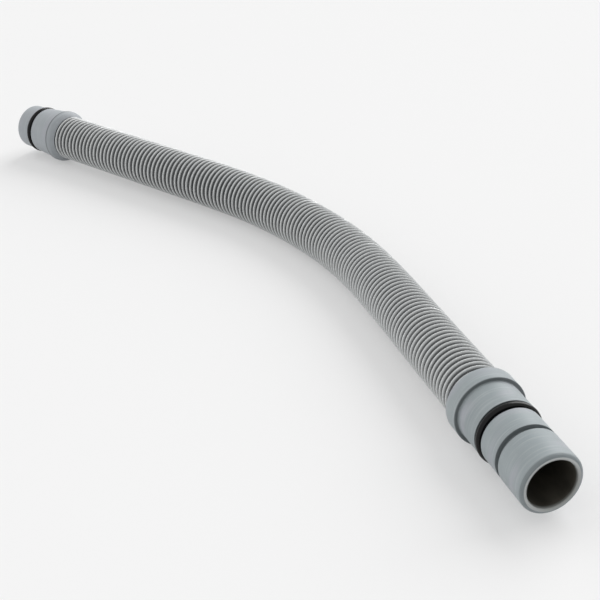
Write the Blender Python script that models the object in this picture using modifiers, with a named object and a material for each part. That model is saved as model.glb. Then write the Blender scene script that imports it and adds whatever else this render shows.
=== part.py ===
# A dishwasher fill hose: a corrugated plastic hose that rests on a table in one gentle bend, with a moulded
# cuff on each end and a rubber O-ring in a groove of each cuff. Metres, +Z up, the table at Z = 0, the
# front mouth towards +X. Run it in Blender's text editor, or with blender --background --python part.py.

import math

import bpy
import numpy as np
from mathutils import Matrix, Vector

# Corrugated hose
RING_RADIUS = 0.0150
GROOVE_RADIUS = 0.0135
HOSE_BORE_RADIUS = 0.0124
RING_PITCH = 0.00362
RINGS_PER_BORE_STEP = 4
HOSE_SIDES = 20
GUIDE_POINTS_PER_RING = 2

# The middle line of the hose seen from above, from the rear cuff's seat to the front cuff's. The hose is
# stiff: it leaves each cuff nearly straight and bends once, in the middle.
ROUTE = [
    (-0.2385, -0.0227),
    (-0.2105, -0.0145),
    (-0.1825, -0.0064),
    (-0.1545, 0.0016),
    (-0.1265, 0.0097),
    (-0.0984, 0.0177),
    (-0.0701, 0.0248),
    (-0.0414, 0.0296),
    (-0.0123, 0.0317),
    (0.0168, 0.0313),
    (0.0458, 0.0282),
    (0.0744, 0.0224),
    (0.1026, 0.0151),
    (0.1307, 0.0073),
    (0.1588, -0.0006),
    (0.1869, -0.0083),
    (0.2150, -0.0161),
]

# Both cuffs: a collar that the hose's plain end sits in, then a spigot with its seal grooves
COLLAR_RADIUS = 0.0177
COLLAR_BACK_RADIUS = 0.0146
COLLAR_OFFSET = 0.0022
SEAT_THICKNESS = 0.0015
BORE_RADIUS = 0.0115
RIM_RADIUS = 0.0126
NOSE_ROUND_LENGTH = 0.0022
EDGE_ROUND = 0.0004
SEAL_FLOOR_RADIUS = 0.0127
SEAL_GROOVE_WIDTH = 0.0048
CUFF_SIDES = 40

# Front cuff, lengths from the shoulder of its collar
FRONT_COLLAR_LENGTH = 0.0115
FRONT_COLLAR_TAPER = 0.0022
FRONT_NECK_RADIUS = 0.0158
FRONT_SEAL_GROOVE_START = 0.0174
FRONT_LAND_RADIUS = 0.0149
FRONT_EMPTY_GROOVE_START = 0.0364
FRONT_EMPTY_GROOVE_WIDTH = 0.0032
FRONT_NOSE_RADIUS = 0.0150
FRONT_NOSE_END_RADIUS = 0.0152
FRONT_SPIGOT_LENGTH = 0.0599

# Rear cuff, lengths from the shoulder of its collar
REAR_COLLAR_LENGTH = 0.0060
REAR_COLLAR_TAPER = 0.0042
REAR_FLARE_RADIUS = 0.0167
REAR_FLARE_LENGTH = 0.0100
REAR_NECK_RADIUS = 0.0153
REAR_SEAL_GROOVE_START = 0.0186
REAR_NOSE_RADIUS = 0.0150
REAR_NOSE_END_RADIUS = 0.0148
REAR_SPIGOT_LENGTH = 0.0352

# O-rings
O_RING_THICKNESS = 0.0030
O_RING_SECTION_POINTS = 10

# The space left where two pieces touch
FIT_GAP = 0.0003

COLLAR_TAPER_STEPS = 4
NOSE_ROUND_STEPS = 4
SMOOTH_ANGLE = math.radians(30)
SEAM_MERGE = 0.00001


def clear_scene():
    for item in list(bpy.data.objects):
        bpy.data.objects.remove(item, do_unlink=True)
    for blocks in (bpy.data.meshes, bpy.data.curves, bpy.data.materials, bpy.data.collections):
        for block in list(blocks):
            blocks.remove(block)


def make_collection(name):
    collection = bpy.data.collections.new(name)
    bpy.context.scene.collection.children.link(collection)
    return collection


def make_material(name, colour, roughness):
    material = bpy.data.materials.new(name)
    material.use_nodes = True
    material.diffuse_color = (*colour, 1.0)
    shader = material.node_tree.nodes["Principled BSDF"]
    shader.inputs["Base Color"].default_value = (*colour, 1.0)
    shader.inputs["Roughness"].default_value = roughness
    shader.inputs["Metallic"].default_value = 0.0
    return material


# Middle line


def rest_heights(points):
    """The hose stands on its two collars and on the outside of its bend, so its middle line drops evenly
    from the collars' radius to the rings' radius."""
    along = (points[-1] - points[0]) / np.linalg.norm(points[-1] - points[0])
    offsets = (points[:, 1] - points[0, 1]) * along[0] - (points[:, 0] - points[0, 0]) * along[1]
    share = (offsets - COLLAR_OFFSET) / (offsets.max() - COLLAR_OFFSET)
    return COLLAR_RADIUS - (COLLAR_RADIUS - RING_RADIUS) * share


def smooth_line(points):
    """Closely spaced points on the smooth curve through the given points, straight at both ends, and their
    distances along it."""
    knots = np.concatenate([[0.0], np.cumsum(np.linalg.norm(np.diff(points, axis=0), axis=1))])
    gaps = np.diff(knots)
    system = np.eye(len(points))
    right = np.zeros_like(points)
    for i in range(1, len(points) - 1):
        system[i, i - 1 : i + 2] = (gaps[i - 1], 2 * (gaps[i - 1] + gaps[i]), gaps[i])
        right[i] = 6 * ((points[i + 1] - points[i]) / gaps[i] - (points[i] - points[i - 1]) / gaps[i - 1])
    bends = np.linalg.solve(system, right)
    places = np.linspace(0.0, knots[-1], 200 * len(points))
    span = np.clip(np.searchsorted(knots, places, side="right") - 1, 0, len(gaps) - 1)
    gap = gaps[span][:, None]
    left = (knots[span + 1] - places)[:, None] / gap
    rest = 1.0 - left
    line = left * points[span] + rest * points[span + 1]
    line += ((left**3 - left) * bends[span] + (rest**3 - rest) * bends[span + 1]) * gap**2 / 6
    distance = np.concatenate([[0.0], np.cumsum(np.linalg.norm(np.diff(line, axis=0), axis=1))])
    return line, distance


def point_at(line, distance, place):
    return Vector([float(np.interp(place, distance, line[:, axis])) for axis in range(3)])


# Turned pieces


def turned_piece(name, profile, sides, material, collection):
    """A piece turned about Z from a closed profile of (radius, height) points, which runs down its outer
    side and up its inner side."""
    count = len(profile)
    mesh = bpy.data.meshes.new(name)
    mesh.from_pydata(
        [(radius, 0.0, height) for radius, height in profile],
        [(i, (i + 1) % count) for i in range(count)],
        [],
    )
    mesh.materials.append(material)
    piece = bpy.data.objects.new(name, mesh)
    collection.objects.link(piece)
    turn = piece.modifiers.new("turn", "SCREW")
    turn.axis = "Z"
    turn.angle = math.tau
    turn.steps = sides
    turn.render_steps = sides
    turn.use_merge_vertices = True
    turn.merge_threshold = SEAM_MERGE
    turn.use_smooth_shade = True
    return piece


def bake_smooth(piece):
    """Turns the piece's modifiers into its mesh, smooth except across its sharp edges."""
    graph = bpy.context.evaluated_depsgraph_get()
    mesh = bpy.data.meshes.new_from_object(piece.evaluated_get(graph), depsgraph=graph)
    piece.modifiers.clear()
    piece.data = mesh
    mesh.name = piece.name
    mesh.shade_smooth()
    mesh.set_sharp_from_angle(angle=SMOOTH_ANGLE)


def place_along(piece, origin, direction):
    """Puts the piece's origin at a point with its +Z along the direction and its +X upwards."""
    forward = direction.normalized()
    side = forward.cross(Vector((0.0, 0.0, 1.0))).normalized()
    up = side.cross(forward)
    turn = Matrix((up, forward.cross(up), forward)).transposed()
    piece.matrix_world = Matrix.Translation(origin) @ turn.to_4x4()


# Corrugated hose


def hose_profile(start, end):
    """Rings between the two collars, a plain end in each socket, and a plain bore."""
    rear_edge = REAR_COLLAR_LENGTH - SEAT_THICKNESS
    front_edge = end + FIT_GAP - (FRONT_COLLAR_LENGTH - SEAT_THICKNESS)
    rings = round((front_edge - rear_edge) / RING_PITCH)
    pitch = (front_edge - rear_edge) / rings
    outer = [(GROOVE_RADIUS, end)]
    for i in range(rings):
        groove = front_edge - i * pitch
        outer.append((GROOVE_RADIUS, groove))
        outer.append((RING_RADIUS, groove - pitch / 2))
    outer.append((GROOVE_RADIUS, rear_edge))
    outer.append((GROOVE_RADIUS, start))
    steps = round(rings / RINGS_PER_BORE_STEP)
    inner = [(HOSE_BORE_RADIUS, start + (end - start) * i / steps) for i in range(steps + 1)]
    return outer + inner


def make_guide(line, distance, collection):
    """A curve along the middle line, which bends the hose; it isn't part of the object."""
    count = round(distance[-1] / RING_PITCH) * GUIDE_POINTS_PER_RING + 1
    places = np.linspace(0.0, distance[-1], count)
    curve = bpy.data.curves.new("hose_route", "CURVE")
    curve.dimensions = "3D"
    curve.twist_mode = "Z_UP"
    spline = curve.splines.new("POLY")
    spline.points.add(count - 1)
    for point, place in zip(spline.points, places):
        point.co = (*point_at(line, distance, place), 1.0)
    guide = bpy.data.objects.new("hose_route", curve)
    guide.hide_render = True
    guide.display_type = "WIRE"
    collection.objects.link(guide)
    return guide


def make_hose(line, distance, material, collection, guides):
    profile = hose_profile(FIT_GAP, distance[-1] - FIT_GAP)
    hose = turned_piece("corrugated_hose", profile, HOSE_SIDES, material, collection)
    bend = hose.modifiers.new("bend", "CURVE")
    bend.object = make_guide(line, distance, guides)
    bend.deform_axis = "POS_Z"
    return hose


# Cuffs


def collar_profile(length, taper, neck_radius):
    """The collar's outer side, from the neck at its shoulder to its back edge, where it is rounded down
    towards the hose."""
    side = []
    for i in range(COLLAR_TAPER_STEPS + 1):
        share = i / COLLAR_TAPER_STEPS
        drop = (COLLAR_RADIUS - COLLAR_BACK_RADIUS) * share**2
        side.append((COLLAR_RADIUS - drop, taper * (1.0 - share) - length))
    return [
        (neck_radius, 0.0),
        (COLLAR_RADIUS - EDGE_ROUND, 0.0),
        (COLLAR_RADIUS, -EDGE_ROUND),
    ] + side


def inner_profile(collar_length, spigot_length):
    """The inner side, from the collar's back edge up to the mouth: a socket, its seat and the bore."""
    socket_radius = GROOVE_RADIUS + FIT_GAP
    return [
        (socket_radius, -collar_length),
        (socket_radius, -SEAT_THICKNESS),
        (BORE_RADIUS, -SEAT_THICKNESS),
        (BORE_RADIUS, spigot_length - EDGE_ROUND),
        (BORE_RADIUS + EDGE_ROUND, spigot_length),
    ]


def nose_profile(nose_end_radius, spigot_length):
    """The spigot's rounded end, from the flat rim out to its side."""
    side = []
    for i in range(NOSE_ROUND_STEPS + 1):
        angle = math.pi / 2 * i / NOSE_ROUND_STEPS
        radius = RIM_RADIUS + (nose_end_radius - RIM_RADIUS) * math.sin(angle)
        side.append((radius, spigot_length - NOSE_ROUND_LENGTH * (1.0 - math.cos(angle))))
    return side


def front_cuff_profile():
    seal_end = FRONT_SEAL_GROOVE_START + SEAL_GROOVE_WIDTH
    empty_end = FRONT_EMPTY_GROOVE_START + FRONT_EMPTY_GROOVE_WIDTH
    spigot = nose_profile(FRONT_NOSE_END_RADIUS, FRONT_SPIGOT_LENGTH) + [
        (FRONT_NOSE_RADIUS, empty_end),
        (SEAL_FLOOR_RADIUS, empty_end),
        (SEAL_FLOOR_RADIUS, FRONT_EMPTY_GROOVE_START),
        (FRONT_LAND_RADIUS, FRONT_EMPTY_GROOVE_START),
        (FRONT_LAND_RADIUS, seal_end),
        (SEAL_FLOOR_RADIUS, seal_end),
        (SEAL_FLOOR_RADIUS, FRONT_SEAL_GROOVE_START),
        (FRONT_NECK_RADIUS, FRONT_SEAL_GROOVE_START),
    ]
    collar = collar_profile(FRONT_COLLAR_LENGTH, FRONT_COLLAR_TAPER, FRONT_NECK_RADIUS)
    return spigot + collar + inner_profile(FRONT_COLLAR_LENGTH, FRONT_SPIGOT_LENGTH)


def rear_cuff_profile():
    seal_end = REAR_SEAL_GROOVE_START + SEAL_GROOVE_WIDTH
    spigot = nose_profile(REAR_NOSE_END_RADIUS, REAR_SPIGOT_LENGTH) + [
        (REAR_NOSE_RADIUS, seal_end),
        (SEAL_FLOOR_RADIUS, seal_end),
        (SEAL_FLOOR_RADIUS, REAR_SEAL_GROOVE_START),
        (REAR_NECK_RADIUS, REAR_SEAL_GROOVE_START),
        (REAR_NECK_RADIUS, REAR_FLARE_LENGTH),
    ]
    collar = collar_profile(REAR_COLLAR_LENGTH, REAR_COLLAR_TAPER, REAR_FLARE_RADIUS)
    return spigot + collar + inner_profile(REAR_COLLAR_LENGTH, REAR_SPIGOT_LENGTH)


def o_ring_profile():
    """The ring's section, just clear of the groove's floor; it turns the way an outer side runs down."""
    radius = O_RING_THICKNESS / 2
    middle = SEAL_FLOOR_RADIUS + FIT_GAP + radius
    section = []
    for i in range(O_RING_SECTION_POINTS):
        angle = math.tau * (i + 0.5) / O_RING_SECTION_POINTS
        section.append((middle + radius * math.cos(angle), -radius * math.sin(angle)))
    return section


def make_cuff(side, profile, seal_height, seat_point, outward, looks, collection):
    """A cuff with its seat at the hose's end, and its O-ring."""
    shoulder = seat_point + outward * SEAT_THICKNESS
    cuff = turned_piece(side + "_cuff", profile, CUFF_SIDES, looks["cuff"], collection)
    place_along(cuff, shoulder, outward)
    ring = turned_piece(side + "_o_ring", o_ring_profile(), CUFF_SIDES, looks["seal"], collection)
    place_along(ring, shoulder + outward * seal_height, outward)
    return [cuff, ring]


def build():
    clear_scene()
    collection = make_collection("dishwasher_fill_hose")
    guides = make_collection("guides")
    looks = {
        "hose": make_material("hose_plastic", (0.36, 0.37, 0.37), 0.40),
        "cuff": make_material("cuff_plastic", (0.33, 0.37, 0.38), 0.50),
        "seal": make_material("seal_rubber", (0.012, 0.012, 0.013), 0.35),
    }
    flat = np.array(ROUTE)
    line, distance = smooth_line(np.column_stack([flat, rest_heights(flat)]))
    pieces = [make_hose(line, distance, looks["hose"], collection, guides)]
    step = RING_PITCH
    end = distance[-1]
    rear_seat = point_at(line, distance, 0.0)
    front_seat = point_at(line, distance, end)
    rear_outward = (rear_seat - point_at(line, distance, step)).normalized()
    front_outward = (front_seat - point_at(line, distance, end - step)).normalized()
    seal_inset = FIT_GAP + O_RING_THICKNESS / 2
    front_seal = FRONT_SEAL_GROOVE_START + seal_inset
    rear_seal = REAR_SEAL_GROOVE_START + SEAL_GROOVE_WIDTH - seal_inset
    pieces += make_cuff(
        "front", front_cuff_profile(), front_seal, front_seat, front_outward, looks, collection
    )
    pieces += make_cuff(
        "rear", rear_cuff_profile(), rear_seal, rear_seat, rear_outward, looks, collection
    )
    bpy.context.view_layer.update()
    for piece in pieces:
        bake_smooth(piece)
    whole = bpy.data.objects.new("fill_hose", None)
    collection.objects.link(whole)
    for piece in pieces:
        piece.parent = whole


build()
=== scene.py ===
# Looks for a dishwasher fill hose: a corrugated grey hose in one gentle bend, a moulded cuff and a black
# O-ring at each end, on a pale table under soft light. Metres, +Z up.
import math

import bmesh
import bpy
import numpy as np
from mathutils import Euler, Matrix, Vector


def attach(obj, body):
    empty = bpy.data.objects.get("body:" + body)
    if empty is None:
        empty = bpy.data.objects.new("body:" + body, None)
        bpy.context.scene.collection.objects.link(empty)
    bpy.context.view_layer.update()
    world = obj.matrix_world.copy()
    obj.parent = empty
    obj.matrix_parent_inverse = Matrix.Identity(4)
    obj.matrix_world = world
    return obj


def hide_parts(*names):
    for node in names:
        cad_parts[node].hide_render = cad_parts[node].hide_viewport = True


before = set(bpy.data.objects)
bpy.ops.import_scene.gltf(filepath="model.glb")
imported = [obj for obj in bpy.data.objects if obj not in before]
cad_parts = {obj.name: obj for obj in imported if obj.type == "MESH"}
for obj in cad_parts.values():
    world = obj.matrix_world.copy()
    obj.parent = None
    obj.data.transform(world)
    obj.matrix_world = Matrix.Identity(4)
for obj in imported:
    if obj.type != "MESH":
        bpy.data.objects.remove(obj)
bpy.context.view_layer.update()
print("frame loaded:", len(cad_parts), "nodes")


# camera

cameraView = {
    "place": (0.58525, -0.33931, 0.33509),
    "turnDegrees": (62.0936, 2.6295, 57.1176),
    "lens": 77.1,
}

camera = bpy.data.objects.new("camera", bpy.data.cameras.new("camera"))
camera.data.lens = cameraView["lens"]
camera.data.sensor_width = 36.0
camera.data.clip_start = 0.01
camera.data.clip_end = 20.0
camera.location = cameraView["place"]
camera.rotation_euler = Euler([math.radians(a) for a in cameraView["turnDegrees"]])
bpy.context.scene.collection.objects.link(camera)
bpy.context.scene.camera = camera
print("camera placed")


# line and mesh helpers


def smoothLine(points):  # natural cubic curve through the points, and the distance along it
    knots = np.concatenate([[0.0], np.cumsum(np.linalg.norm(np.diff(points, axis=0), axis=1))])
    gaps = np.diff(knots)
    system = np.eye(len(points))
    right = np.zeros_like(points)
    for i in range(1, len(points) - 1):
        system[i, i - 1 : i + 2] = (gaps[i - 1], 2 * (gaps[i - 1] + gaps[i]), gaps[i])
        right[i] = 6 * ((points[i + 1] - points[i]) / gaps[i] - (points[i] - points[i - 1]) / gaps[i - 1])
    bends = np.linalg.solve(system, right)
    places = np.linspace(0.0, knots[-1], 200 * len(points))
    span = np.clip(np.searchsorted(knots, places, side="right") - 1, 0, len(gaps) - 1)
    gap = gaps[span][:, None]
    left = (knots[span + 1] - places)[:, None] / gap
    rest = 1.0 - left
    line = left * points[span] + rest * points[span + 1]
    line += ((left**3 - left) * bends[span] + (rest**3 - rest) * bends[span + 1]) * gap**2 / 6
    distance = np.concatenate([[0.0], np.cumsum(np.linalg.norm(np.diff(line, axis=0), axis=1))])
    return line, distance


def linePoint(line, distance, place):
    return np.array([np.interp(place, distance, line[:, k]) for k in range(3)])


def lineDirection(line, distance, place, reach=0.0018):
    paintedShade = max(place - reach, 0.0)
    high = min(place + reach, distance[-1])
    ahead = linePoint(line, distance, high) - linePoint(line, distance, paintedShade)
    return ahead / np.linalg.norm(ahead)


def axesAlong(direction):  # up and side, square to the direction
    side = np.cross(direction, (0.0, 0.0, 1.0))
    side /= np.linalg.norm(side)
    return np.cross(side, direction), side


def skinRings(name, rings, firstInner):
    # rings: rows of points round a tube, outside first and then back along the inside; the last row joins
    # the first. Faces from firstInner on take the second material.
    rows, around = rings.shape[:2]
    row, column = np.meshgrid(np.arange(rows), np.arange(around), indexing="ij")
    nextRow = (row + 1) % rows
    nextColumn = (column + 1) % around
    corners = np.stack(
        [
            row * around + column,
            row * around + nextColumn,
            nextRow * around + nextColumn,
            nextRow * around + column,
        ],
        axis=-1,
    ).reshape(-1, 4)
    mesh = bpy.data.meshes.new(name)
    mesh.from_pydata(rings.reshape(-1, 3).tolist(), [], corners.tolist())
    mesh.polygons.foreach_set("material_index", (row.ravel() >= firstInner).astype(np.int32))
    shape = bmesh.new()
    shape.from_mesh(mesh)
    bmesh.ops.recalc_face_normals(shape, faces=shape.faces)
    shape.to_mesh(mesh)
    shape.free()
    piece = bpy.data.objects.new(name, mesh)
    bpy.context.scene.collection.objects.link(piece)
    return piece


def smoothShade(piece, degrees):
    piece.data.shade_smooth()
    piece.data.set_sharp_from_angle(angle=math.radians(degrees))


def roundedOutline(corners, steps=5):
    # corners: (radius, height, rounding, shade); a rounded corner becomes a short curve, and shade is how
    # much painted shade the side from this corner to the next takes
    outline = []
    shades = []
    count = len(corners)
    for i, (radius, height, rounding, shade) in enumerate(corners):
        here = np.array((radius, height))
        shadeBefore = corners[i - 1][3]
        if rounding == 0.0:
            outline.append(here)
            shades.append(max(shade, shadeBefore))
            continue
        before = np.array(corners[i - 1][:2]) - here
        after = np.array(corners[(i + 1) % count][:2]) - here
        start = here + before * min(rounding / np.linalg.norm(before), 0.48)
        stop = here + after * min(rounding / np.linalg.norm(after), 0.48)
        for k in range(steps + 1):
            t = k / steps
            outline.append((1 - t) ** 2 * start + 2 * t * (1 - t) * here + t**2 * stop)
            shades.append((1 - t) * shadeBefore + t * shade)
    return np.array(outline), np.array(shades)


def turnedPiece(name, outline, sides, firstInner):  # a closed outline turned about the piece's own Z
    angles = np.arange(sides) * math.tau / sides
    rings = np.empty((len(outline), sides, 3))
    rings[:, :, 0] = outline[:, :1] * np.cos(angles)
    rings[:, :, 1] = outline[:, :1] * np.sin(angles)
    rings[:, :, 2] = outline[:, 1:2]
    return skinRings(name, rings, firstInner)


def markPaintedShade(piece, values):  # rows of painted shade amounts, one for each point, kept as a point attribute that the material reads
    mark = piece.data.attributes.new("paintedShade", "FLOAT", "POINT")
    mark.data.foreach_set("value", values.ravel().astype(np.float32))


# the painted shade amount of each point
def readPaintedShade(tree):
    node = tree.nodes.new("ShaderNodeAttribute")
    node.attribute_name = "paintedShade"
    return node.outputs["Fac"]


def placeAlong(piece, origin, direction):
    # own Z goes along the direction and own X upwards; each point keeps its own coordinates for the material
    points = np.empty(3 * len(piece.data.vertices), dtype=np.float32)
    piece.data.vertices.foreach_get("co", points)
    piece.data.attributes.new("own", "FLOAT_VECTOR", "POINT").data.foreach_set("vector", points)
    up, side = axesAlong(direction)
    turn = Matrix((up, np.cross(direction, up), direction)).transposed()
    piece.data.transform(Matrix.Translation(Vector(origin)) @ turn.to_4x4())


# material helpers


def newMaterial(name):
    material = bpy.data.materials.new(name)
    material.use_nodes = True
    tree = material.node_tree
    return material, tree, tree.nodes["Principled BSDF"]


def noiseField(tree, source, stretch, detail, roughness):  # noise over a stretched copy of the coordinates
    mapping = tree.nodes.new("ShaderNodeMapping")
    mapping.inputs["Scale"].default_value = stretch
    tree.links.new(source, mapping.inputs["Vector"])
    noise = tree.nodes.new("ShaderNodeTexNoise")
    noise.inputs["Scale"].default_value = 1.0
    noise.inputs["Detail"].default_value = detail
    noise.inputs["Roughness"].default_value = roughness
    tree.links.new(mapping.outputs["Vector"], noise.inputs["Vector"])
    return noise.outputs["Fac"]


def remap(tree, source, fromLow, fromHigh, toLow, toHigh):
    node = tree.nodes.new("ShaderNodeMapRange")
    for key, value in (("From Min", fromLow), ("From Max", fromHigh), ("To Min", toLow), ("To Max", toHigh)):
        node.inputs[key].default_value = value
    tree.links.new(source, node.inputs["Value"])
    return node.outputs["Result"]


def blendColours(tree, factor, first, second):  # first and second are colours or sockets
    node = tree.nodes.new("ShaderNodeMix")
    node.data_type = "RGBA"
    tree.links.new(factor, node.inputs[0])
    for slot, value in ((6, first), (7, second)):
        if isinstance(value, tuple):
            node.inputs[slot].default_value = (*value, 1.0)
        else:
            tree.links.new(value, node.inputs[slot])
    return node.outputs[2]


def addBump(tree, shader, height, strength, distance, under=None):
    node = tree.nodes.new("ShaderNodeBump")
    node.inputs["Strength"].default_value = strength
    node.inputs["Distance"].default_value = distance
    tree.links.new(height, node.inputs["Height"])
    if under is not None:
        tree.links.new(under, node.inputs["Normal"])
    tree.links.new(node.outputs["Normal"], shader.inputs["Normal"])
    return node.outputs["Normal"]


def objectCoordinates(tree):
    return tree.nodes.new("ShaderNodeTexCoord").outputs["Object"]


def ownCoordinates(tree):  # those of a turned piece, before it was put in its place
    node = tree.nodes.new("ShaderNodeAttribute")
    node.attribute_name = "own"
    return node.outputs["Vector"]


# the route that the hose lies on

routeValues = {
    "points": [  # seen from above, rear cuff's seat to front cuff's
        (-0.2385, -0.0227),
        (-0.2105, -0.0145),
        (-0.1825, -0.0064),
        (-0.1545, 0.0016),
        (-0.1265, 0.0097),
        (-0.0984, 0.0177),
        (-0.0701, 0.0248),
        (-0.0414, 0.0296),
        (-0.0123, 0.0317),
        (0.0168, 0.0313),
        (0.0458, 0.0282),
        (0.0744, 0.0224),
        (0.1026, 0.0151),
        (0.1307, 0.0073),
        (0.1588, -0.0006),
        (0.1869, -0.0083),
        (0.2150, -0.0161),
    ],
    "collarHeight": 0.0177,  # the middle line's height at the collars
    "bendHeight": 0.0150,  # and at the outside of the bend
    "collarOffset": 0.0022,
}

routePlan = np.array(routeValues["points"])
chord = (routePlan[-1] - routePlan[0]) / np.linalg.norm(routePlan[-1] - routePlan[0])
offsets = (routePlan[:, 1] - routePlan[0, 1]) * chord[0] - (routePlan[:, 0] - routePlan[0, 0]) * chord[1]
share = (offsets - routeValues["collarOffset"]) / (offsets.max() - routeValues["collarOffset"])
drop = routeValues["collarHeight"] - routeValues["bendHeight"]
routePoints = np.column_stack([routePlan, routeValues["collarHeight"] - drop * share])
hoseLine, hoseDistance = smoothLine(routePoints)
hoseLength = hoseDistance[-1]
print("route:", round(hoseLength, 4), "m")


# corrugated hose

hoseValues = {
    "ringRadius": 0.0150,
    "grooveRadius": 0.0129,
    "plainRadius": 0.0135,
    "boreRadius": 0.0124,
    "ringPitch": 0.00362,
    "rearPlain": 0.0045,  # the plain ends inside the cuffs
    "frontPlain": 0.0100,
    "fitGap": 0.0003,
    "sides": 64,
    "unevenness": 0.00004,
    "seed": 7,
    # the crests' grey: partly the plastic's own colour, partly a painted highlight that makes it lighter than
    # the plastic is
    "colour": (0.74, 0.76, 0.76),
    "colourDark": (0.65, 0.67, 0.675),
    "colourWorn": (0.82, 0.83, 0.825),
    # painted shade in the grooves: near black
    "grooveShadeColour": (0.025, 0.029, 0.032),
    "grooveShadeFade": (0.10, 0.60),  # depth below the crest where the painted groove shade begins, and where it is full
    "roughness": (0.20, 0.32),
    "gloss": 1.0,
}

ringShape = (  # share of the pitch, share of the height between groove and crest
    (0.00, 0.00),
    (0.10, 0.03),
    (0.20, 0.16),
    (0.30, 0.48),
    (0.38, 0.80),
    (0.46, 0.975),
    (0.54, 0.975),
    (0.62, 0.80),
    (0.70, 0.48),
    (0.80, 0.16),
    (0.90, 0.03),
)


def hoseRings(values):
    rng = np.random.default_rng(values["seed"])
    first = values["rearPlain"]
    last = hoseLength - values["frontPlain"]
    count = round((last - first) / values["ringPitch"])
    pitch = (last - first) / count
    depth = values["ringRadius"] - values["grooveRadius"]
    rows = [(values["fitGap"], values["plainRadius"])]
    for i in range(count):
        slip = rng.normal(0.0, values["unevenness"])
        lower = abs(rng.normal(0.0, values["unevenness"]))
        for place, height in ringShape:
            radius = values["grooveRadius"] + depth * height - lower * height
            rows.append((first + (i + place) * pitch + slip * height, radius))
    rows.append((last, values["grooveRadius"]))
    rows.append((hoseLength - values["fitGap"], values["plainRadius"]))
    outerCount = len(rows)
    for place in np.linspace(hoseLength - values["fitGap"], values["fitGap"], count // 3):
        rows.append((place, values["boreRadius"]))
    angles = np.arange(values["sides"]) * math.tau / values["sides"]
    rings = np.empty((len(rows), values["sides"], 3))
    grooveShadeAmounts = np.clip([(values["ringRadius"] - radius) / depth for place, radius in rows], 0.0, 1.0)
    for k, (place, radius) in enumerate(rows):
        middle = linePoint(hoseLine, hoseDistance, place)
        up, side = axesAlong(lineDirection(hoseLine, hoseDistance, place))
        rings[k] = middle + radius * (np.cos(angles)[:, None] * up + np.sin(angles)[:, None] * side)
    return rings, outerCount, count, grooveShadeAmounts  # painted groove shade of each row: 0 on a crest, 1 in a groove


def hoseMaterial(values):
    material, tree, shader = newMaterial("ribbedHosePlastic")
    place = objectCoordinates(tree)
    cloud = noiseField(tree, place, (22, 22, 22), 3.0, 0.55)
    speck = noiseField(tree, place, (420, 420, 420), 2.0, 0.6)
    grain = noiseField(tree, place, (2600, 2600, 2600), 2.0, 0.5)
    tint = blendColours(tree, remap(tree, cloud, 0.3, 0.7, 0.0, 0.35), values["colour"], values["colourDark"])
    worn = blendColours(tree, remap(tree, speck, 0.55, 0.8, 0.0, 0.3), tint, values["colourWorn"])
    # painted shade: the grooves darken towards near black with their depth
    shade = remap(tree, readPaintedShade(tree), *values["grooveShadeFade"], 0.0, 1.0)
    tree.links.new(blendColours(tree, shade, worn, values["grooveShadeColour"]), shader.inputs["Base Color"])
    tree.links.new(remap(tree, speck, 0.3, 0.7, *values["roughness"]), shader.inputs["Roughness"])
    shader.inputs["Specular IOR Level"].default_value = values["gloss"]
    addBump(tree, shader, grain, 0.15, 0.0001)
    return material


# the inside of the hose and the cuffs, painted near black as shade

insideValues = {
    # painted shade: near black, with stained patches a little lighter
    "colour": (0.040, 0.037, 0.030),
    "colourStainedShade": (0.075, 0.068, 0.054),
    "colourLip": (0.47, 0.49, 0.485),
    "lipFade": (0.0024, 0.0003),  # how far inside the mouth the lip's grey begins, and where it is full
    "roughness": (0.45, 0.60),
}


def boreMaterial(name, mouthHeight=None):  # with a mouthHeight, the painted shade of the inside gives way to grey towards the mouth
    material, tree, shader = newMaterial(name)
    place = objectCoordinates(tree) if mouthHeight is None else ownCoordinates(tree)
    stain = noiseField(tree, place, (140, 140, 60), 3.0, 0.6)
    stained = remap(tree, stain, 0.3, 0.7, 0.0, 1.0)
    inside = blendColours(tree, stained, insideValues["colour"], insideValues["colourStainedShade"])
    if mouthHeight is not None:
        height = tree.nodes.new("ShaderNodeSeparateXYZ")
        tree.links.new(place, height.inputs["Vector"])
        fadeStart, fadeStop = (mouthHeight - depth for depth in insideValues["lipFade"])
        lip = remap(tree, height.outputs["Z"], fadeStart, fadeStop, 0.0, 1.0)
        inside = blendColours(tree, lip, inside, insideValues["colourLip"])
    tree.links.new(inside, shader.inputs["Base Color"])
    tree.links.new(remap(tree, stain, 0.3, 0.7, *insideValues["roughness"]), shader.inputs["Roughness"])
    return material


# cuffs

cuffValues = {
    "collarRadius": 0.0177,
    "collarBackRadius": 0.0146,
    "seatThickness": 0.0015,
    "socketRadius": 0.0138,
    "boreRadius": 0.0115,
    "mouthDepth": 0.0030,  # over which the bore widens to the mouth
    "noseRound": 0.0022,
    "skewDepth": 0.0100,  # over which a mouth out of square is tipped
    "sealFloor": 0.0127,
    "sealWidth": 0.0048,
    "edgeRound": 0.0003,
    "shoulderRound": 0.0005,
    "shoulderBand": 0.0009,
    "shoulderShade": 0.75,  # these four say how much painted shade a groove or a side takes, from 0 to 1
    "sealShade": 0.8,
    "emptyShade": 0.6,
    "noseShade": 0.38,
    "sides": 128,
    "colourScuffed": (0.47, 0.50, 0.515),
    "colourTint": (0.36, 0.365, 0.405),
    # the colour of the painted shade in the grooves, on the shoulder, behind the lip and at the rear collar's
    # edge
    "colourShade": (0.075, 0.085, 0.088),
    "roughness": (0.40, 0.56),
    "gloss": 0.4,
}

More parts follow.
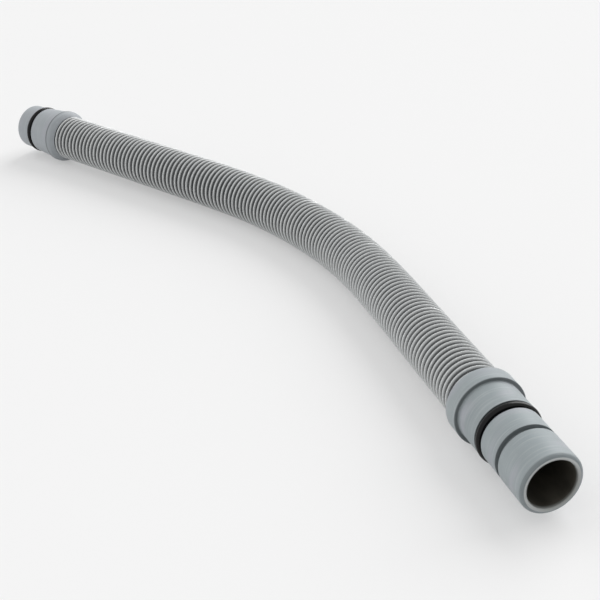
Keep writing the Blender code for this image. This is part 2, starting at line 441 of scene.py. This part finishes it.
frontCuffValues = {  # lengths from the shoulder of the collar
    "collarLength": 0.0115,
    "collarTaper": 0.0022,
    "edgeShade": 0.0,
    "noseShadeTurn": 50,  # degrees round the cuff to the side where the nose's painted shade is darkest
    "noseSkew": 0.079,  # how far the mouth is out of square
    "mouthRadius": 0.0120,
    "rimRadius": 0.0133,
    "colour": (0.295, 0.333, 0.345),
    "colourDark": (0.245, 0.28, 0.292),
    "neckRadius": 0.0158,
    "sealStart": 0.0174,
    "landRadius": 0.0149,
    "emptyStart": 0.0364,
    "emptyWidth": 0.0032,
    "noseRadius": 0.0150,
    "noseEndRadius": 0.0150,
    "spigotLength": 0.0599,
}

rearCuffValues = {
    "collarLength": 0.0060,
    "collarTaper": 0.0042,
    # painted shade: a thin dark line along the collar's edge at the shoulder
    "edgeShade": 0.7,
    "noseShadeTurn": 50,
    "noseSkew": 0.0,
    "mouthRadius": 0.0116,
    "rimRadius": 0.0126,
    "colour": (0.365, 0.390, 0.412),
    "colourDark": (0.31, 0.34, 0.358),
    "flareRadius": 0.0171,
    "flareLength": 0.0170,
    "flareRound": 0.0014,
    "neckRadius": 0.0156,
    "sealStart": 0.0186,
    "noseRadius": 0.0150,
    "noseEndRadius": 0.0148,
    "spigotLength": 0.0352,
}


def collarOutline(own, atShoulder):  # from the neck over the shoulder to the collar's back edge
    radius = cuffValues["collarRadius"]
    back = cuffValues["collarBackRadius"]
    corners = [
        (atShoulder, 0.0, cuffValues["shoulderRound"], cuffValues["shoulderShade"]),
        (radius, 0.0, cuffValues["shoulderRound"], own["edgeShade"]),
        (radius, -cuffValues["shoulderBand"], 0.0, 0.0),
    ]
    for i in range(7):
        part = i / 6
        height = own["collarTaper"] * (1 - part) - own["collarLength"]
        corners.append((radius - (radius - back) * part**2, height, 0.0, 0.0))
    return corners


def innerOutline(own):  # socket, seat and bore, from the back edge to the mouth
    seat = -cuffValues["seatThickness"]
    edge = cuffValues["edgeRound"]
    return [
        (cuffValues["socketRadius"], -own["collarLength"], edge, 0.0),
        (cuffValues["socketRadius"], seat, 0.0, 0.0),
        (cuffValues["boreRadius"], seat, edge, 0.0),
        (cuffValues["boreRadius"], own["spigotLength"] - cuffValues["mouthDepth"], 0.0010, 0.0),
        (own["mouthRadius"], own["spigotLength"], 0.0004, 0.0),
    ]


def spigotEnd(own):  # the rounded nose, from the rim to the side, with painted shade behind the lip
    rim = own["rimRadius"]
    corners = []
    for i in range(13):
        angle = math.pi / 2 * i / 12
        radius = rim + (own["noseEndRadius"] - rim) * math.sin(angle)
        height = own["spigotLength"] - cuffValues["noseRound"] * (1 - math.cos(angle))
        corners.append((radius, height, 0.0, cuffValues["noseShade"] if 1 <= i <= 7 else 0.0))
    return corners


def sealGroove(own, before):  # from the side before the groove, down and up again to the neck
    floor, edge, shade = (cuffValues[key] for key in ("sealFloor", "edgeRound", "sealShade"))
    sealEnd = own["sealStart"] + cuffValues["sealWidth"]
    return [
        (before, sealEnd, edge, shade),
        (floor, sealEnd, edge, shade),
        (floor, own["sealStart"], edge, shade),
        (own["neckRadius"], own["sealStart"], edge, 0.0),
    ]


def frontCuffCorners(own):
    floor, edge, shade = (cuffValues[key] for key in ("sealFloor", "edgeRound", "emptyShade"))
    emptyEnd = own["emptyStart"] + own["emptyWidth"]
    emptyGroove = [
        (own["noseRadius"], emptyEnd, edge, shade),
        (floor, emptyEnd, edge, shade),
        (floor, own["emptyStart"], edge, shade),
        (own["landRadius"], own["emptyStart"], edge, 0.0),
    ]
    seal = sealGroove(own, own["landRadius"])
    return spigotEnd(own) + emptyGroove + seal + collarOutline(own, own["neckRadius"])


def rearCuffCorners(own):
    seal = sealGroove(own, own["noseRadius"])
    flare = [(own["neckRadius"], own["flareLength"], own["flareRound"], 0.0)]
    return spigotEnd(own) + seal + flare + collarOutline(own, own["flareRadius"])


def cuffMaterial(name, own):
    material, tree, shader = newMaterial(name)
    place = ownCoordinates(tree)
    streak = noiseField(tree, place, (35, 35, 1500), 4.0, 0.65)
    scratch = noiseField(tree, place, (90, 90, 4200), 2.0, 0.5)
    cloud = noiseField(tree, place, (55, 55, 55), 2.0, 0.5)
    grain = noiseField(tree, place, (3000, 3000, 3000), 2.0, 0.5)
    base = blendColours(tree, remap(tree, cloud, 0.35, 0.7, 0.0, 0.6), own["colour"], own["colourDark"])
    patch = noiseField(tree, place, (45, 45, 110), 1.0, 0.4)
    tinted = blendColours(tree, remap(tree, patch, 0.5, 0.72, 0.0, 0.7), base, cuffValues["colourTint"])
    rubbed = blendColours(tree, remap(tree, streak, 0.5, 0.72, 0.0, 0.5), tinted, cuffValues["colourScuffed"])
    # painted shade on the shoulder, in the grooves, behind the lip and at the rear collar's edge
    shaded = blendColours(tree, readPaintedShade(tree), rubbed, cuffValues["colourShade"])
    tree.links.new(shaded, shader.inputs["Base Color"])
    tree.links.new(remap(tree, streak, 0.3, 0.7, *cuffValues["roughness"]), shader.inputs["Roughness"])
    shader.inputs["Specular IOR Level"].default_value = cuffValues["gloss"]
    fine = addBump(tree, shader, grain, 0.12, 0.0001)
    addBump(tree, shader, scratch, 0.10, 0.0001, under=fine)
    return material


# O-rings

sealValues = {
    "thickness": 0.0030,
    "gap": 0.0003,
    "sides": 128,
    "section": 24,
    "colour": (0.004, 0.0042, 0.0045),
    "dustColour": (0.014, 0.014, 0.014),
    "roughness": (0.14, 0.26),
    "gloss": 0.22,
}


def sealRing(name):
    radius = sealValues["thickness"] / 2
    middle = cuffValues["sealFloor"] + sealValues["gap"] + radius
    angles = np.arange(sealValues["section"]) * math.tau / sealValues["section"]
    outline = np.column_stack([middle + radius * np.cos(angles), -radius * np.sin(angles)])
    return turnedPiece(name, outline, sealValues["sides"], len(outline))


def sealMaterial():
    material, tree, shader = newMaterial("blackSealRubber")
    place = ownCoordinates(tree)
    dust = noiseField(tree, place, (300, 300, 300), 3.0, 0.6)
    grain = noiseField(tree, place, (2200, 2200, 2200), 2.0, 0.5)
    dusty = remap(tree, dust, 0.55, 0.8, 0.0, 0.4)
    rubber = blendColours(tree, dusty, sealValues["colour"], sealValues["dustColour"])
    tree.links.new(rubber, shader.inputs["Base Color"])
    tree.links.new(remap(tree, dust, 0.3, 0.7, *sealValues["roughness"]), shader.inputs["Roughness"])
    shader.inputs["Specular IOR Level"].default_value = sealValues["gloss"]
    addBump(tree, shader, grain, 0.08, 0.0001)
    return material


# put the pieces together

rings, outerCount, ringCount, grooveShadeAmounts = hoseRings(hoseValues)
hose = skinRings("ribbedHose", rings, outerCount)
# painted shade in the hose's grooves
markPaintedShade(hose, np.repeat(grooveShadeAmounts, hoseValues["sides"]))
smoothShade(hose, 50)
hose.data.materials.append(hoseMaterial(hoseValues))
# the inside painted near black as shade
hose.data.materials.append(boreMaterial("hoseInside"))
print("hose:", ringCount, "rings,", len(hose.data.polygons), "faces")

sealRubber = sealMaterial()


def skewMouth(cuff, own):  # tips the mouth out of square, most at its rim
    start = own["spigotLength"] - cuffValues["skewDepth"]
    for vertex in cuff.data.vertices:
        share = (vertex.co.z - start) / (own["spigotLength"] - start)
        if share > 0:
            aside = math.atan2(vertex.co.y, vertex.co.x) - math.radians(own["noseShadeTurn"])
            tip = own["noseSkew"] * math.hypot(vertex.co.x, vertex.co.y) * math.cos(aside)
            vertex.co.z += share * tip


def buildEnd(side, own, corners, sealHeight, seat, outward):
    shoulder = seat + outward * cuffValues["seatThickness"]
    outer, outerShades = roundedOutline(corners)
    inner, innerShades = roundedOutline(innerOutline(own))
    cuff = turnedPiece(side + "Cuff", np.vstack([outer, inner]), cuffValues["sides"], len(outer))
    sides = cuffValues["sides"]
    marks = np.repeat(np.concatenate([outerShades, innerShades])[:, None], sides, axis=1)
    turns = np.arange(sides) * math.tau / sides - math.radians(own["noseShadeTurn"])
    heights = np.concatenate([outer, inner])[:, 1]
    onNose = heights > own["spigotLength"] - cuffValues["noseRound"] - 0.0001
    marks[onNose] *= 0.2 + 0.4 * (1 + np.cos(turns))  # painted shade: the nose is darker on one side
    markPaintedShade(cuff, marks)
    if own["noseSkew"]:
        skewMouth(cuff, own)
    smoothShade(cuff, 35)
    cuff.data.materials.append(cuffMaterial(side + "CuffPlastic", own))
    cuff.data.materials.append(boreMaterial(side + "CuffInside", own["spigotLength"]))
    placeAlong(cuff, shoulder, outward)
    seal = sealRing(side + "Seal")
    smoothShade(seal, 60)
    seal.data.materials.append(sealRubber)
    placeAlong(seal, shoulder + outward * sealHeight, outward)
    return cuff, seal


rearSeat = linePoint(hoseLine, hoseDistance, 0.0)
frontSeat = linePoint(hoseLine, hoseDistance, hoseLength)
rearOutward = rearSeat - linePoint(hoseLine, hoseDistance, hoseValues["ringPitch"])
rearOutward /= np.linalg.norm(rearOutward)
frontOutward = frontSeat - linePoint(hoseLine, hoseDistance, hoseLength - hoseValues["ringPitch"])
frontOutward /= np.linalg.norm(frontOutward)
sealInset = sealValues["gap"] + sealValues["thickness"] / 2
frontCuff, frontSeal = buildEnd(
    "front",
    frontCuffValues,
    frontCuffCorners(frontCuffValues),
    frontCuffValues["sealStart"] + sealInset,
    frontSeat,
    frontOutward,
)
rearCuff, rearSeal = buildEnd(
    "rear",
    rearCuffValues,
    rearCuffCorners(rearCuffValues),
    rearCuffValues["sealStart"] + cuffValues["sealWidth"] - sealInset,
    rearSeat,
    rearOutward,
)
print("cuffs and O-rings made")

for piece, node, slot in (
    (hose, "corrugated_hose", "hose_plastic"),
    (frontCuff, "front_cuff", "cuff_plastic"),
    (frontSeal, "front_o_ring", "seal_rubber"),
    (rearCuff, "rear_cuff", "cuff_plastic"),
    (rearSeal, "rear_o_ring", "seal_rubber"),
):
    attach(piece, "root")
    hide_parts(node)

print("hose pieces attached")


# floor and light

studioValues = {
    "floorSize": 8.0,
    "floorColour": (0.86, 0.86, 0.86),
    "floorRoughness": 0.75,
    "floorGloss": 0.2,
    "paleShare": 0.4,  # how far the camera sees the table as evenly pale
    "paleColour": (0.88, 0.88, 0.88),
    "sunStrength": 2.36,
    "sunSpreadDegrees": 55.0,
    "sunFrom": (-0.181, 0.799, 0.574),
    "skyHigh": 0.42,
    "skyLow": -0.05,
    "fills": (  # from where, how bright and how narrow
        ((-0.74, -0.64, 0.25), 1.52, 2.0),
        ((0.95, -0.20, 0.25), 0.44, 2.0),
    ),
    "backdrop": (0.905, 0.905, 0.905),
}


def joinMath(tree, operation, first, second):  # each one a socket or a number
    node = tree.nodes.new("ShaderNodeMath")
    node.operation = operation
    for slot, value in ((0, first), (1, second)):
        if isinstance(value, float):
            node.inputs[slot].default_value = value
        else:
            tree.links.new(value, node.inputs[slot])
    return node.outputs[0]


def seenDirectly(tree):  # 1 for rays from the camera, also by way of a reflection or through glass
    rays = tree.nodes.new("ShaderNodeLightPath")
    direct = joinMath(tree, "MAXIMUM", rays.outputs["Is Camera Ray"], rays.outputs["Is Glossy Ray"])
    return joinMath(tree, "MAXIMUM", direct, rays.outputs["Is Transmission Ray"])


half = studioValues["floorSize"] / 2
floorCorners = [(-half, -half, 0), (half, -half, 0), (half, half, 0), (-half, half, 0)]
floorMesh = bpy.data.meshes.new("table")
floorMesh.from_pydata(floorCorners, [], [(0, 1, 2, 3)])
floor = bpy.data.objects.new("table", floorMesh)
bpy.context.scene.collection.objects.link(floor)
floorPaint, floorTree, floorShader = newMaterial("paleTable")
floorShader.inputs["Base Color"].default_value = (*studioValues["floorColour"], 1.0)
floorShader.inputs["Roughness"].default_value = studioValues["floorRoughness"]
floorShader.inputs["Specular IOR Level"].default_value = studioValues["floorGloss"]
evenLight = floorTree.nodes.new("ShaderNodeEmission")
evenLight.inputs["Color"].default_value = (*studioValues["paleColour"], 1.0)
floorMix = floorTree.nodes.new("ShaderNodeMixShader")
paleAmount = remap(floorTree, seenDirectly(floorTree), 0.0, 1.0, 0.0, studioValues["paleShare"])
floorTree.links.new(paleAmount, floorMix.inputs[0])
floorTree.links.new(floorShader.outputs[0], floorMix.inputs[1])
floorTree.links.new(evenLight.outputs[0], floorMix.inputs[2])
floorTree.links.new(floorMix.outputs[0], floorTree.nodes["Material Output"].inputs["Surface"])
floorMesh.materials.append(floorPaint)

sun = bpy.data.objects.new("softLamp", bpy.data.lights.new("softLamp", "SUN"))
sun.data.energy = studioValues["sunStrength"]
sun.data.angle = math.radians(studioValues["sunSpreadDegrees"])
sun.rotation_euler = Vector(studioValues["sunFrom"]).to_track_quat("Z", "Y").to_euler()
bpy.context.scene.collection.objects.link(sun)

world = bpy.data.worlds.new("studio")
bpy.context.scene.world = world
world.use_nodes = True
tree = world.node_tree
background = tree.nodes["Background"]
direction = tree.nodes.new("ShaderNodeTexCoord").outputs["Generated"]
parts = tree.nodes.new("ShaderNodeSeparateXYZ")
tree.links.new(direction, parts.inputs["Vector"])
level = remap(tree, parts.outputs["Z"], 0.0, 1.0, studioValues["skyLow"], studioValues["skyHigh"])
level = joinMath(tree, "MAXIMUM", level, 0.0)
for fillFrom, strength, narrowness in studioValues["fills"]:  # broad pale walls to both sides
    facing = tree.nodes.new("ShaderNodeVectorMath")
    facing.operation = "DOT_PRODUCT"
    tree.links.new(direction, facing.inputs[0])
    facing.inputs[1].default_value = Vector(fillFrom).normalized()
    wall = joinMath(tree, "POWER", joinMath(tree, "MAXIMUM", facing.outputs["Value"], 0.0), narrowness)
    level = joinMath(tree, "ADD", level, joinMath(tree, "MULTIPLY", wall, strength))
grey = tree.nodes.new("ShaderNodeCombineColor")
for channel in ("Red", "Green", "Blue"):
    tree.links.new(level, grey.inputs[channel])
shown = blendColours(tree, seenDirectly(tree), grey.outputs["Color"], studioValues["backdrop"])
tree.links.new(shown, background.inputs["Color"])
background.inputs["Strength"].default_value = 1.0
bpy.context.scene.view_settings.view_transform = "Standard"
print("table and light made")

bpy.context.view_layer.update()
